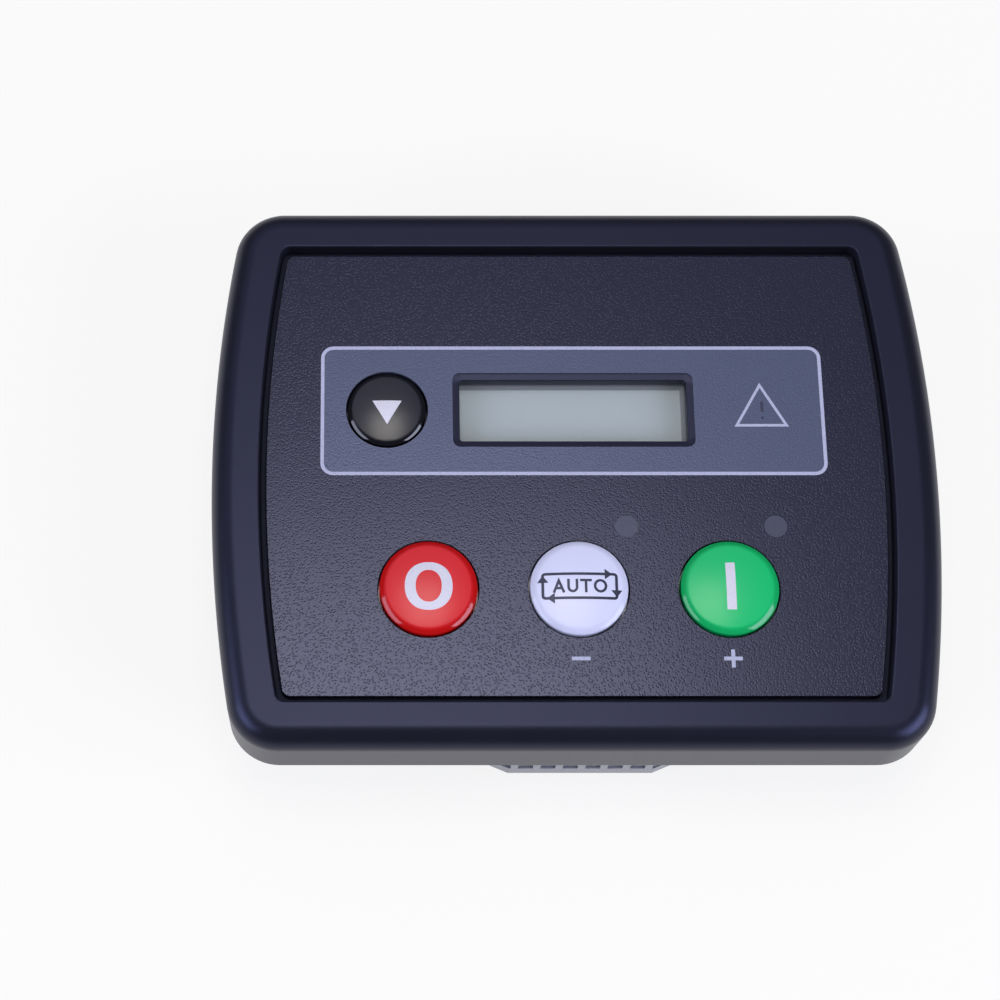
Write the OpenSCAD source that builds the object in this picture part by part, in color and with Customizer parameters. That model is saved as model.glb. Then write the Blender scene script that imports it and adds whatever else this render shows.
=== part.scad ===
// Panel-mounted controller for an engine-driven generator.
// It lies on its back: +Z points out of the face, +X to the right and +Y up the face.
// The origin is the centre of the flat rear face. All sizes are in millimetres.

/* [Housing] */
// Depth from the rear face to the front land of the bezel
overall_depth = 37; // [36:0.5:55]
// Width of the bezel at its widest, across the middle
bezel_w = 165; // [155:1:185]
// Height of the bezel
bezel_h = 129.6; // [122:0.2:145]
// Depth of the bezel from the panel seat to the front land
bezel_depth = 16.5; // [13:0.5:19]
// How far each side bows out between its corners and its middle
side_bow = 6.3; // [4:0.1:8]
// Radius of the bezel corners seen from the front
bezel_corner_r = 11.5; // [9:0.5:14]
// Radius of the rounded front edge
bezel_edge_r = 5.2; // [3:0.2:7]
// Wall thickness of the bezel
bezel_wall = 2.5; // [2:0.1:3]
// Overlap of the bezel beyond the case, at each side
flange_x = 8.5; // [7:0.5:12]
// Overlap of the bezel beyond the case, at top and bottom
flange_y = 10.8; // [9:0.2:14]
// Wall thickness of the rear case
case_wall = 2.2; // [1.6:0.1:3]
// Radius of the upright corners of the rear case
case_corner_r = 5; // [3:0.5:7]
// Radius round the rear edges of the case
case_edge_r = 1.5; // [0.8:0.1:1.9]

/* [Face] */
// Land between the widest point of the bezel and the recess, at each side
land_x = 11; // [9:0.2:14]
// Land between the bezel's edge and the recess, at top and bottom
land_y = 10.1; // [9:0.1:13]
// Corner radius of the recess
recess_corner_r = 2; // [1.8:0.1:4]
// Depth of the moat floor below the front land
moat_depth = 4.2; // [3:0.1:5]
// Width of the moat round the overlay
moat_w = 1.6; // [1:0.1:2.5]
// Thickness of the face plate under the moat
plate_t = 1; // [0.8:0.1:2]
// Depth of the overlay's surface below the front land
overlay_drop = 2; // [1.4:0.1:2.4]
// Thickness of the overlay
overlay_t = 0.6; // [0.3:0.1:0.8]

/* [Display] */
// Height of the display row above the middle of the face
display_y = 14.5; // [12:0.5:17]
// Width of the display aperture
aperture_w = 52; // [44:1:56]
// Height of the display aperture
aperture_h = 15; // [12:0.5:18]
// Width of the bare border between the aperture and the overlay
aperture_border = 1.6; // [0.8:0.1:2.4]
// Corner radius of the aperture
aperture_corner_r = 0.7; // [0.4:0.1:2]
// Corner radius of the overlay's opening round the border
border_corner_r = 1.8; // [0.8:0.1:3]
// Thickness of the clear display window
window_t = 1.4; // [1:0.1:2]
// Overlap of the window behind the face plate
window_lap = 3; // [2:0.2:4]
// Thickness of the display glass
glass_t = 2.2; // [1.6:0.1:2.6]
// Thickness of the backlight
backlight_t = 3; // [2:0.2:3.4]
// Sheet thickness of the display frame
frame_t = 0.6; // [0.4:0.1:0.8]
// Clamp width of the display frame round the aperture
frame_lip = 3.4; // [2.6:0.2:4.4]

/* [Buttons] */
// Diameter of the three large caps
cap_d = 21.8; // [18:0.2:24]
// Spacing of the three large buttons
button_pitch = 33.5; // [30:0.5:36]
// Height of the large buttons, from the middle of the face
button_y = -28.5; // [-32:0.5:-26]
// Diameter of the scroll cap
scroll_cap_d = 17.8; // [14:0.2:19]
// Place of the scroll button across the face
scroll_x = -42.6; // [-48:0.2:-42]
// Rise of the large caps above the overlay
cap_rise = 2.4; // [1.8:0.1:3.4]
// Rise of the scroll cap above the overlay
scroll_cap_rise = 1.4; // [1:0.1:2.4]
// Rise of the dome on a cap
dome_rise = 1.2; // [0.6:0.1:1.4]
// Radius round the edge of a cap
cap_edge_r = 1.2; // [0.6:0.1:1.6]
// Wall thickness of a cap
cap_wall = 1.8; // [1.2:0.1:2.4]
// Width of the flange that keeps a cap behind the plate
cap_flange = 1.5; // [1:0.1:2]
// Thickness of that flange
cap_flange_t = 1.2; // [0.8:0.1:1.6]
// Inward travel of a button
travel = 0.8; // [0.4:0.1:1]
// Gap between a cap and its hole, all round
cap_gap = 0.35; // [0.3:0.05:0.6]
// Gap between a cap's flange and the plate it rests under
flange_gap = 0.3; // [0.3:0.05:0.5]

/* [Switches and lamps] */
// Width of a square key switch
switch_w = 12; // [10:0.5:13]
// Height of a key switch's body
switch_h = 3.5; // [3:0.1:4.5]
// Height of a plunger's top above the board
plunger_top = 7.3; // [6.4:0.1:8.4]
// Diameter of a plunger
plunger_d = 6; // [4:0.2:7]
// Offset of an indicator lamp to the right of its button
lamp_dx = 11.1; // [10.6:0.1:14]
// Offset of an indicator lamp above its button
lamp_dy = 14.7; // [13:0.1:17]
// Diameter of an indicator light pipe
pipe_d = 4.6; // [3:0.2:5.4]
// Place of the alarm lamp across the face
alarm_x = 43; // [41:0.2:46]
// Diameter of the alarm lamp's light pipe
alarm_pipe_d = 8; // [5:0.5:9]
// Diameter of a lamp
lamp_d = 3.8; // [3:0.2:5]
// Height of a lamp
lamp_h = 2.3; // [1.6:0.1:3.4]

/* [Circuit board] */
// Depth of the board's front below the face plate
board_drop = 12.8; // [12:0.1:14]
// Thickness of the boards
board_t = 1.6; // [1.2:0.1:2]
// Gap between the board's edge and the case
board_gap = 1.8; // [1:0.1:3]
// Distance of each case screw from the case's outer faces
screw_inset = 8; // [7.2:0.1:10]
// Diameter of a case screw
screw_d = 3; // [2.4:0.1:3.4]
// Diameter of a case screw's head
screw_head_d = 5.6; // [5:0.1:6]
// Height of a case screw's head
screw_head_h = 2; // [1.6:0.1:2.4]
// Diameter of the case pillars
pillar_d = 9; // [8.6:0.1:10]
// Diameter of the bezel's screw bosses
boss_d = 7; // [6:0.1:8]

/* [Terminals] */
// Ways of the lower supply terminal
supply_ways = 8; // [5:1:10]
// Place of the supply terminal across the case
supply_x = 1.5; // [-4:0.5:4]
// Ways of the upper input terminal
input_ways = 10; // [6:1:10]
// Place of the input terminal across the case
input_x = -22; // [-26:0.5:-18]
// Pitch of the supply and input terminals
terminal_pitch = 5.08; // [3.81, 5, 5.08]
// Ways of the upper generator terminal
generator_ways = 4; // [3:1:4]
// Place of the generator terminal across the case
generator_x = 34; // [30:0.5:38]
// Pitch of the generator terminal
generator_pitch = 7.62; // [7.5, 7.62]
// Reach of the plugs beyond the case
plug_reach = 9.3; // [7:0.1:10]
// Height of a header
header_h = 12; // [10:0.2:12.6]
// Depth of a header
header_depth = 9; // [8:0.2:11]
// Wall thickness of a header
header_wall = 1; // [0.8:0.1:1.4]
// Length of the chamfers on a plug's ends
plug_chamfer = 4.5; // [3:0.1:5]
// Place of the data socket across the case
usb_x = 45; // [40:0.5:50]

/* [Fixing slots] */
// Height of a fixing-clip slot along the case side
slot_w = 10; // [7:0.5:14]
// Width of a fixing-clip slot
slot_h = 5; // [4.4:0.1:6]
// Distance of each slot's centre from the middle of the side
slot_y = 20; // [14:0.5:26]
// Height of the slots above the rear face
slot_z = 8.5; // [6:0.5:11]

/* [Hidden] */
$fn = 64;
// Smoothness of the wide bowed sides
bow_fn = 720;
// Amount by which a cut runs past a face
over = 1;
// Gap between pieces that are fitted into each other
fit = 0.2;
// Extra radius of a corner's rounding, so that it crosses the sides at a slight angle
corner_ease = 0.03;

// Heights above the rear face
front_z = overall_depth;
seat_z = front_z - bezel_depth;
moat_z = front_z - moat_depth;
overlay_z = front_z - overlay_drop;
platform_z = overlay_z - overlay_t;
plate_z = moat_z - plate_t;
// The board stands off the face plate, or further forward where the headers behind it need the room
floor_gap = 0.3;
board_z = max(plate_z - board_drop, case_wall + floor_gap + header_h + board_t);
board_under_z = board_z - board_t;
cap_top_z = overlay_z + cap_rise;
scroll_top_z = overlay_z + scroll_cap_rise;
flange_z = plate_z - flange_gap - cap_flange_t;

// Half sizes of the bowed outlines, from the middle of the face
bezel_half = [bezel_w / 2, bezel_h / 2];
cavity_half = bezel_half - [bezel_wall, bezel_wall];
recess_half = bezel_half - [land_x, land_y];
overlay_half = recess_half - [moat_w, moat_w];
bow_r = (pow(bezel_h / 2, 2) + pow(side_bow, 2)) / (2 * side_bow);

// Rear case and board
case_w = bezel_w - 2 * flange_x;
case_h = bezel_h - 2 * flange_y;
board_w = case_w - 2 * (case_wall + board_gap);
board_h = case_h - 2 * (case_wall + board_gap);
board_corner_r = 2;
screw_x = case_w / 2 - screw_inset;
screw_y = case_h / 2 - screw_inset;
screw_gap = 0.2;
counterbore_z = 3;
counterbore_gap = 0.4;
boss_roof = 4.8;
screw_tip_gap = 1;
pilot_end_z = plate_z - boss_roof;
screw_end_z = pilot_end_z - screw_tip_gap;
locating_rib_t = 1.5;
locating_rib_h = 4;
rim_rib_t = 1.4;
rim_rib_drop = 3;
rim_rib_gap = 0.6;
rim_ribs_x = [-50, -20, 20, 50];
rim_ribs_y = [-25, 25];

// Display pieces, stacked behind the face plate
aperture = [aperture_w, aperture_h];
display_cut = aperture + 2 * [aperture_border, aperture_border];
window_size = aperture + 2 * [window_lap, window_lap];
frame_size = aperture + 2 * [frame_lip + frame_t, frame_lip + frame_t];
frame_view = aperture + [over, over];
glass_size = frame_size - 2 * [frame_t + fit, frame_t + fit];
lcd_board_margin = 2.4;
lcd_board_size = frame_size + 2 * [lcd_board_margin, lcd_board_margin];
window_z = plate_z - window_t;
glass_z = window_z - frame_t - glass_t;
backlight_z = glass_z - backlight_t;
lcd_board_z = backlight_z - board_t;
lcd_pins = 16;
lcd_pin_pitch = 2.54;
lcd_strip_w = 2.5;
standoff_d = 4.5;
standoff_inset = 2.6;

// Buttons
button_xs = [-button_pitch, 0, button_pitch];
stop_x = button_xs[0];
auto_x = button_xs[1];
start_x = button_xs[2];
lamp_y = button_y + lamp_dy;
overlay_hole_gap = 0.5;
stem_margin = 1;
stem_d = plunger_d + 2 * stem_margin;
cap_rib_t = 1.4;
plunger_gap = 0.4;
switch_floor = 1.2;
plunger_z = board_z + plunger_top;
plunger_foot_z = board_z + switch_floor + travel + plunger_gap;

// Light pipes
pipe_gap = 0.15;

// Terminals: y = 0 is the outer face of the case wall, and +y leads out of the case
header_gap = 0.3;
header_back = 1.8;
header_lip = 1.2;
plug_end = 0.7;
plug_gap = 0.2;
plug_chamfer_y = 1.9;
plug_inset = 0.3;
plug_h = header_h - 2 * plug_inset;
terminal_z = board_under_z - header_h / 2;
nose_inset = 1;
wire_hole = [3.4, 3];
wire_depth = 6;
pin_t = 1;
pin_hole_t = 1.1;
pin_socket_t = 1.6;
pin_length = 6;
pin_drop = 1.6;
clamp_screw_d = 3.2;
clamp_screw_h = 2.4;
clamp_hole_depth = 3;
clamp_slot = [0.7, 0.8];
window_gap = 0.4;
header_front_y = -case_wall - header_gap;
cavity_depth = header_depth - header_back;
pin_z = terminal_z;

// Data socket
usb_size = [12, 16, 10.8];
usb_mouth = [8.4, 7.8];
usb_mouth_depth = 9;
usb_tongue = [5.6, 3.1];
usb_tongue_back = 1.4;
usb_window_gap = 0.6;

// Parts on the board
chip_size = [14, 14, 1.4];
chip_place = [16.7, -36];
relay_size = [19, 15.5];
relay_floor_gap = 1.6;
relay_h = board_under_z - case_wall - relay_floor_gap;
fuel_relay_place = [-34, 4];
start_relay_place = [-8, 4];
capacitor_d = 10;
capacitor_floor_gap = 2.7;
capacitor_h = board_under_z - case_wall - capacitor_floor_gap;
capacitor_places = [[20, 6], [34, 6]];
inductor_d = 12;
inductor_h = 8;
inductor_place = [24, -14];
resistor_size = [3.2, 6.3, 1];
resistor_y = 28;

// Radius of a bowed side at a given half width, on the same centre as the bezel's own side
function side_r(half_w) = bow_r - (bezel_w / 2 - half_w);
// Centre of the corner fillet between a bowed side and a straight end
function fillet_y(half, r) = half[1] - r;
function fillet_x(half, r) =
    half[0] - side_r(half[0]) + sqrt(pow(side_r(half[0]) - r, 2) - pow(fillet_y(half, r), 2));

// Places children at the four corner centres of a bowed outline, mirrored to face each corner
module at_corners(half, r) {
    for (mx = [0, 1], my = [0, 1]) mirror([mx, 0, 0]) mirror([0, my, 0]) {
        translate([fillet_x(half, r), fillet_y(half, r), 0]) children();
    }
}

// Wedge from a corner's centre, between its tangent points and past the sharp corner
module corner_wedge_2d(half, r) {
    side_angle = asin(fillet_y(half, r) / (side_r(half[0]) - r));
    reach = 2 * r;
    polygon([[0, 0], reach * [cos(side_angle), sin(side_angle)], [reach, reach], [0, reach]]);
}

// Outline with straight ends, bowed sides and rounded corners
module bowed_2d(half, r) difference() {
    arc_r = side_r(half[0]);
    intersection() {
        translate([half[0] - arc_r, 0]) circle(r = arc_r, $fn = bow_fn);
        translate([arc_r - half[0], 0]) circle(r = arc_r, $fn = bow_fn);
        square([4 * half[0], 2 * half[1]], center = true);
    }
    at_corners(half, r) difference() {
        corner_wedge_2d(half, r);
        circle(r = r + corner_ease);
    }
}

module bowed_prism(half, r, z0, z1) {
    translate([0, 0, z0]) linear_extrude(z1 - z0) bowed_2d(half, r);
}

module rounded_2d(size, r) {
    square([size[0] - 2 * r, size[1]], center = true);
    square([size[0], size[1] - 2 * r], center = true);
    for (sx = [-1, 1], sy = [-1, 1]) {
        translate([sx * (size[0] / 2 - r), sy * (size[1] / 2 - r)]) circle(r = r);
    }
}

module rounded_prism(size, r, z0, z1) {
    translate([0, 0, z0]) linear_extrude(z1 - z0) rounded_2d(size, r);
}

module block(size, z0, z1) {
    translate([-size[0] / 2, -size[1] / 2, z0]) cube([size[0], size[1], z1 - z0]);
}

module rod(d, z0, z1) {
    translate([0, 0, z0]) cylinder(d = d, h = z1 - z0);
}

module at_screws() {
    for (sx = [-1, 1], sy = [-1, 1]) translate([sx * screw_x, sy * screw_y, 0]) children();
}

// Half section of a moulded rim, with its far edge rounded
module rim_2d(width, depth, edge_r) {
    square([width - edge_r, depth]);
    square([width, depth - edge_r]);
    translate([width - edge_r, depth - edge_r]) intersection() {
        circle(r = edge_r);
        square(edge_r);
    }
}

// Bar along x with a rim's section on both sides
module rim_bar(half_w, length, depth, edge_r) {
    translate([-length / 2, 0, 0]) rotate([90, 0, 90]) linear_extrude(length) {
        rim_2d(half_w, depth, edge_r);
        mirror([1, 0]) rim_2d(half_w, depth, edge_r);
    }
}

// Outer form of the bezel: two wide discs and a bar, each with the rim's section, where they meet
module bezel_form() translate([0, 0, seat_z]) difference() {
    arc_x = bow_r - bezel_half[0];
    intersection() {
        translate([-arc_x, 0, 0]) rotate_extrude($fn = bow_fn) rim_2d(bow_r, bezel_depth, bezel_edge_r);
        translate([arc_x, 0, 0]) rotate_extrude($fn = bow_fn) rim_2d(bow_r, bezel_depth, bezel_edge_r);
        rim_bar(bezel_half[1], bezel_w, bezel_depth, bezel_edge_r);
    }
    at_corners(bezel_half, bezel_corner_r) difference() {
        translate([0, 0, -over]) linear_extrude(bezel_depth + 2 * over) {
            corner_wedge_2d(bezel_half, bezel_corner_r);
        }
        rotate_extrude() rim_2d(bezel_corner_r + corner_ease, bezel_depth, bezel_edge_r);
    }
}

// Outer form of the rear case: two crossed bars with rounded rear edges, less their sharp corners
module case_form() translate([0, 0, plate_z]) mirror([0, 0, 1]) difference() {
    r = case_corner_r;
    intersection() {
        rim_bar(case_h / 2, case_w, plate_z, case_edge_r);
        rotate([0, 0, 90]) rim_bar(case_w / 2, case_h, plate_z, case_edge_r);
    }
    for (mx = [0, 1], my = [0, 1]) mirror([mx, 0, 0]) mirror([0, my, 0]) {
        translate([case_w / 2 - r, case_h / 2 - r, 0]) difference() {
            translate([0, 0, -over]) cube([2 * r, 2 * r, plate_z + 2 * over]);
            rotate_extrude() rim_2d(r + corner_ease, plate_z, case_edge_r);
        }
    }
}

// Stiffening ribs across the hollow between the bezel's wall and the case
module rim_ribs() {
    rib_z = seat_z + rim_rib_drop;
    rib_h = plate_z + over - rib_z;
    reach = bezel_half - [bezel_wall / 2, bezel_wall / 2];
    clear = [case_w + 2 * rim_rib_gap, case_h + 2 * rim_rib_gap];
    difference() {
        intersection() {
            bowed_prism(reach, bezel_corner_r, rib_z, rib_z + rib_h);
            union() {
                for (x = rim_ribs_x) translate([x, 0, rib_z]) block([rim_rib_t, bezel_h], 0, rib_h);
                for (y = rim_ribs_y) translate([0, y, rib_z]) block([bezel_w, rim_rib_t], 0, rib_h);
            }
        }
        block(clear, rib_z - over, plate_z);
    }
}

// Rib under the face plate that centres the rear case
module locating_rib() {
    outer = [case_w, case_h] - 2 * [case_wall + fit, case_wall + fit];
    inner = outer - 2 * [locating_rib_t, locating_rib_t];
    corner = case_corner_r - case_wall - fit;
    difference() {
        rounded_prism(outer, corner, plate_z - locating_rib_h, plate_z + over);
        rounded_prism(inner, corner - locating_rib_t / 2, plate_z - locating_rib_h - over, plate_z);
    }
}

module at_buttons() {
    for (x = button_xs) translate([x, button_y, 0]) children();
}

module at_lamps() {
    for (x = [auto_x, start_x]) translate([x + lamp_dx, lamp_y, 0]) children();
}

module front_bezel() color("#23252e") difference() {
    union() {
        difference() {
            bezel_form();
            bowed_prism(cavity_half, bezel_corner_r - bezel_wall, seat_z - over, plate_z);
            bowed_prism(recess_half, recess_corner_r, moat_z, front_z + over);
        }
        bowed_prism(overlay_half, recess_corner_r, moat_z - over, platform_z);
        rim_ribs();
        locating_rib();
        at_screws() rod(boss_d, board_z, plate_z + over);
    }
    at_buttons() rod(cap_d + 2 * cap_gap, plate_z - over, front_z);
    translate([scroll_x, display_y, 0]) rod(scroll_cap_d + 2 * cap_gap, plate_z - over, front_z);
    translate([0, display_y, 0]) rounded_prism(aperture, aperture_corner_r, plate_z - over, front_z);
    at_lamps() rod(pipe_d + 2 * pipe_gap, plate_z - over, front_z);
    translate([alarm_x, display_y, 0]) rod(alarm_pipe_d + 2 * pipe_gap, plate_z - over, front_z);
    at_screws() rod(screw_d + 2 * screw_gap, board_z - over, pilot_end_z);
}

module fascia_overlay() color("#2f323d") difference() {
    bowed_prism(overlay_half, recess_corner_r, platform_z, overlay_z);
    at_buttons() rod(cap_d + 2 * overlay_hole_gap, platform_z - over, overlay_z + over);
    translate([scroll_x, display_y, 0]) {
        rod(scroll_cap_d + 2 * overlay_hole_gap, platform_z - over, overlay_z + over);
    }
    translate([0, display_y, 0]) {
        rounded_prism(display_cut, border_corner_r, platform_z - over, overlay_z + over);
    }
    at_lamps() rod(pipe_d + 2 * pipe_gap, platform_z - over, overlay_z + over);
}

module display_window() color("#b9c4c4", 0.5) {
    translate([0, display_y, 0]) block(window_size, window_z, plate_z);
}

module lcd_frame() color("#3a3d42") translate([0, display_y, 0]) difference() {
    block(frame_size, backlight_z, window_z);
    block(frame_size - 2 * [frame_t, frame_t], backlight_z - over, window_z - frame_t);
    block(frame_view, backlight_z, window_z + over);
}

module lcd_glass() color("#8f9c98") {
    translate([0, display_y, 0]) block(glass_size, glass_z, glass_z + glass_t);
}

module lcd_backlight() color("#e9ecec") {
    translate([0, display_y, 0]) block(glass_size, backlight_z, glass_z);
}

module lcd_board() color("#1f5a3a") {
    translate([0, display_y, 0]) block(lcd_board_size, lcd_board_z, backlight_z);
}

module lcd_connector() color("#202020") {
    y = lcd_board_size[1] / 2 - lcd_strip_w;
    translate([0, display_y + y, 0]) block([lcd_pins * lcd_pin_pitch, lcd_strip_w], board_z, lcd_board_z);
}

module lcd_standoffs() color("#d8d8d0") translate([0, display_y, 0]) {
    for (sx = [-1, 1], sy = [-1, 1]) {
        place = lcd_board_size / 2 - [standoff_inset, standoff_inset];
        translate([sx * place[0], sy * place[1], 0]) rod(standoff_d, board_z, lcd_board_z);
    }
}

module circuit_board() color("#1d6b43") difference() {
    rounded_prism([board_w, board_h], board_corner_r, board_under_z, board_z);
    at_screws() rod(screw_d + 2 * screw_gap, board_under_z - over, board_z + over);
}

module microcontroller() color("#1a1a1c") {
    translate([chip_place[0], chip_place[1], board_z]) block([chip_size[0], chip_size[1]], 0, chip_size[2]);
}

// A lamp on the board, and the clear rod that carries its light to the face
module lamp(x, y) {
    translate([x, y, 0]) rod(lamp_d, board_z, board_z + lamp_h);
}

module light_pipe(x, y, d, end_z) {
    translate([x, y, 0]) rod(d, board_z + lamp_h, end_z);
}

module auto_lamp() color("#d9d9d2") lamp(auto_x + lamp_dx, lamp_y);
module start_lamp() color("#d9d9d2") lamp(start_x + lamp_dx, lamp_y);
module alarm_lamp() color("#d9d9d2") lamp(alarm_x, display_y);
module auto_light_pipe() color("#5b5c63") light_pipe(auto_x + lamp_dx, lamp_y, pipe_d, overlay_z);
module start_light_pipe() color("#5b5c63") light_pipe(start_x + lamp_dx, lamp_y, pipe_d, overlay_z);
module alarm_light_pipe() color("#5b5c63") light_pipe(alarm_x, display_y, alarm_pipe_d, platform_z);

// A key switch with a well for its plunger
module key_switch(x, y) translate([x, y, 0]) difference() {
    block([switch_w, switch_w], board_z, board_z + switch_h);
    rod(plunger_d + 2 * plunger_gap, board_z + switch_floor, board_z + switch_h + over);
}

module key_plunger(x, y) {
    translate([x, y, 0]) rod(plunger_d, plunger_foot_z, plunger_z);
}

// Half section of a cap: a shallow dome with a rounded edge above a straight skirt
module cap_section_2d(d, top_z) {
    dome_r = (pow(d / 2, 2) + pow(dome_rise, 2)) / (2 * dome_rise);
    edge_x = d / 2 - cap_edge_r;
    dome_z = top_z - dome_r;
    edge_z = dome_z + sqrt(pow(dome_r - cap_edge_r, 2) - pow(edge_x, 2));
    tangent_x = edge_x * dome_r / (dome_r - cap_edge_r);
    intersection() {
        translate([0, dome_z]) circle(r = dome_r, $fn = bow_fn);
        translate([0, flange_z]) square([tangent_x, top_z - flange_z]);
    }
    translate([0, flange_z]) square([d / 2, edge_z - flange_z]);
    translate([edge_x, edge_z]) circle(r = cap_edge_r);
    translate([0, flange_z]) square([d / 2 + cap_flange, cap_flange_t]);
}

// A hollow cap with a flange behind the plate, a stem on the plunger and four ribs
module button_cap(x, y, d, top_z) translate([x, y, 0]) {
    roof_z = top_z - dome_rise - cap_wall;
    hollow_d = d - 2 * cap_wall;
    difference() {
        rotate_extrude() cap_section_2d(d, top_z);
        rod(hollow_d, flange_z - over, roof_z);
    }
    rod(stem_d, plunger_z, roof_z + cap_wall / 2);
    for (a = [0, 90]) rotate([0, 0, a]) {
        block([hollow_d + cap_wall, cap_rib_t], flange_z + cap_flange_t, roof_z + cap_wall / 2);
    }
}

module scroll_switch() color("#26262a") key_switch(scroll_x, display_y);
module stop_switch() color("#26262a") key_switch(stop_x, button_y);
module auto_switch() color("#26262a") key_switch(auto_x, button_y);
module start_switch() color("#26262a") key_switch(start_x, button_y);

module scroll_plunger() color("#e4e2d8") key_plunger(scroll_x, display_y);
module stop_plunger() color("#e4e2d8") key_plunger(stop_x, button_y);
module auto_plunger() color("#e4e2d8") key_plunger(auto_x, button_y);
module start_plunger() color("#e4e2d8") key_plunger(start_x, button_y);

module scroll_button() color("#111114") button_cap(scroll_x, display_y, scroll_cap_d, scroll_top_z);
module stop_button() color("#d02a30") button_cap(stop_x, button_y, cap_d, cap_top_z);
module auto_button() color("#dcdff2") button_cap(auto_x, button_y, cap_d, cap_top_z);
module start_button() color("#1fa85c") button_cap(start_x, button_y, cap_d, cap_top_z);

// Parts on the rear of the board hang from it towards the rear face
module relay(place) {
    translate([place[0], place[1], 0]) {
        block(relay_size, board_under_z - relay_h, board_under_z);
    }
}

module fuel_relay() color("#2b3d6b") relay(fuel_relay_place);
module start_relay() color("#2b3d6b") relay(start_relay_place);

module supply_capacitors() color("#30343c") {
    for (p = capacitor_places) translate([p[0], p[1], 0]) {
        rod(capacitor_d, board_under_z - capacitor_h, board_under_z);
    }
}

module filter_inductor() color("#3b3b3e") {
    translate([inductor_place[0], inductor_place[1], 0]) {
        rod(inductor_d, board_under_z - inductor_h, board_under_z);
    }
}

module sensing_resistors() color("#1d1d20") {
    for (i = [0 : generator_ways - 1]) {
        x = generator_x + (i - (generator_ways - 1) / 2) * generator_pitch;
        translate([x, resistor_y, 0]) {
            block([resistor_size[0], resistor_size[1]], board_under_z - resistor_size[2], board_under_z);
        }
    }
}

// Places children at each way of a terminal
module at_ways(ways, pitch) {
    for (i = [0 : ways - 1]) translate([(i - (ways - 1) / 2) * pitch, 0, 0]) children();
}

function plug_w(ways, pitch) = ways * pitch + 2 * plug_end;
function nose_w(ways, pitch) = plug_w(ways, pitch) - 2 * nose_inset;
nose_h = header_h - 2 * header_lip - 2 * fit;

module slab(w, y0, y1, h) {
    translate([-w / 2, y0, terminal_z - h / 2]) cube([w, y1 - y0, h]);
}

// Shrouded header on the rear of the board, with its mouth behind the case wall
module terminal_header(ways, pitch) {
    back_y = header_front_y - header_depth;
    difference() {
        slab(nose_w(ways, pitch) + 2 * (fit + header_wall), back_y, header_front_y, header_h);
        slab(nose_w(ways, pitch) + 2 * fit, back_y + header_back, header_front_y + over, nose_h + 2 * fit);
        at_ways(ways, pitch) slab(pin_hole_t, back_y - over, header_front_y, pin_hole_t);
    }
}

// Bent contact pins: one leg through the header's back wall and one up to the board
module terminal_pins(ways, pitch) {
    back_y = header_front_y - header_depth;
    at_ways(ways, pitch) {
        slab(pin_t, back_y - pin_drop, back_y + header_back + pin_length, pin_t);
        translate([-pin_t / 2, back_y - pin_drop, pin_z]) cube([pin_t, pin_t, board_under_z - pin_z]);
    }
}

// Plug: a nose in the header and a body outside the case, with wire and screw holes
module terminal_plug(ways, pitch) {
    w = plug_w(ways, pitch);
    tip_y = header_front_y - cavity_depth + fit;
    difference() {
        union() {
            slab(nose_w(ways, pitch), tip_y, plug_gap + over, nose_h);
            translate([0, 0, terminal_z - plug_h / 2]) linear_extrude(plug_h) polygon([
                [-w / 2, plug_gap], [w / 2, plug_gap],
                [w / 2, plug_reach - plug_chamfer_y], [w / 2 - plug_chamfer, plug_reach],
                [plug_chamfer - w / 2, plug_reach], [-w / 2, plug_reach - plug_chamfer_y]
            ]);
        }
        at_ways(ways, pitch) {
            slab(pin_socket_t, tip_y - over, header_front_y, pin_socket_t);
            translate([-wire_hole[0] / 2, plug_reach - wire_depth, terminal_z - wire_hole[1] / 2]) {
                cube([wire_hole[0], wire_depth + over, wire_hole[1]]);
            }
            translate([0, plug_reach / 2, 0]) {
                rod(clamp_screw_d + 2 * fit, terminal_z - plug_h / 2 - over,
                    terminal_z - plug_h / 2 + clamp_hole_depth);
            }
        }
    }
}

// Slotted clamp screws in the rear face of a plug
module terminal_clamp_screws(ways, pitch) {
    top_z = terminal_z - plug_h / 2 + clamp_hole_depth;
    head_z = top_z - clamp_screw_h;
    at_ways(ways, pitch) translate([0, plug_reach / 2, 0]) difference() {
        rod(clamp_screw_d, head_z, top_z);
        block([clamp_screw_d + over, clamp_slot[0]], head_z - over, head_z + clamp_slot[1]);
    }
}

module terminal_window(ways, pitch) {
    slab(nose_w(ways, pitch) + 2 * window_gap, -case_wall - over, over, nose_h + 2 * window_gap);
}

module at_supply() mirror([0, 1, 0]) translate([supply_x, case_h / 2, 0]) children();
module at_input() translate([input_x, case_h / 2, 0]) children();
module at_generator() translate([generator_x, case_h / 2, 0]) children();

module supply_header() color("#74757b") at_supply() terminal_header(supply_ways, terminal_pitch);
module supply_pins() color("#c8c8c4") at_supply() terminal_pins(supply_ways, terminal_pitch);
module supply_plug() color("#7c7d83") at_supply() terminal_plug(supply_ways, terminal_pitch);
module supply_clamp_screws() color("#b8b8b4") at_supply() terminal_clamp_screws(supply_ways, terminal_pitch);

module input_header() color("#74757b") at_input() terminal_header(input_ways, terminal_pitch);
module input_pins() color("#c8c8c4") at_input() terminal_pins(input_ways, terminal_pitch);
module input_plug() color("#7c7d83") at_input() terminal_plug(input_ways, terminal_pitch);
module input_clamp_screws() color("#b8b8b4") at_input() terminal_clamp_screws(input_ways, terminal_pitch);

module generator_header() color("#74757b") at_generator() terminal_header(generator_ways, generator_pitch);
module generator_pins() color("#c8c8c4") at_generator() terminal_pins(generator_ways, generator_pitch);
module generator_plug() color("#7c7d83") at_generator() terminal_plug(generator_ways, generator_pitch);
module generator_clamp_screws() color("#b8b8b4") {
    at_generator() terminal_clamp_screws(generator_ways, generator_pitch);
}

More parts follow.
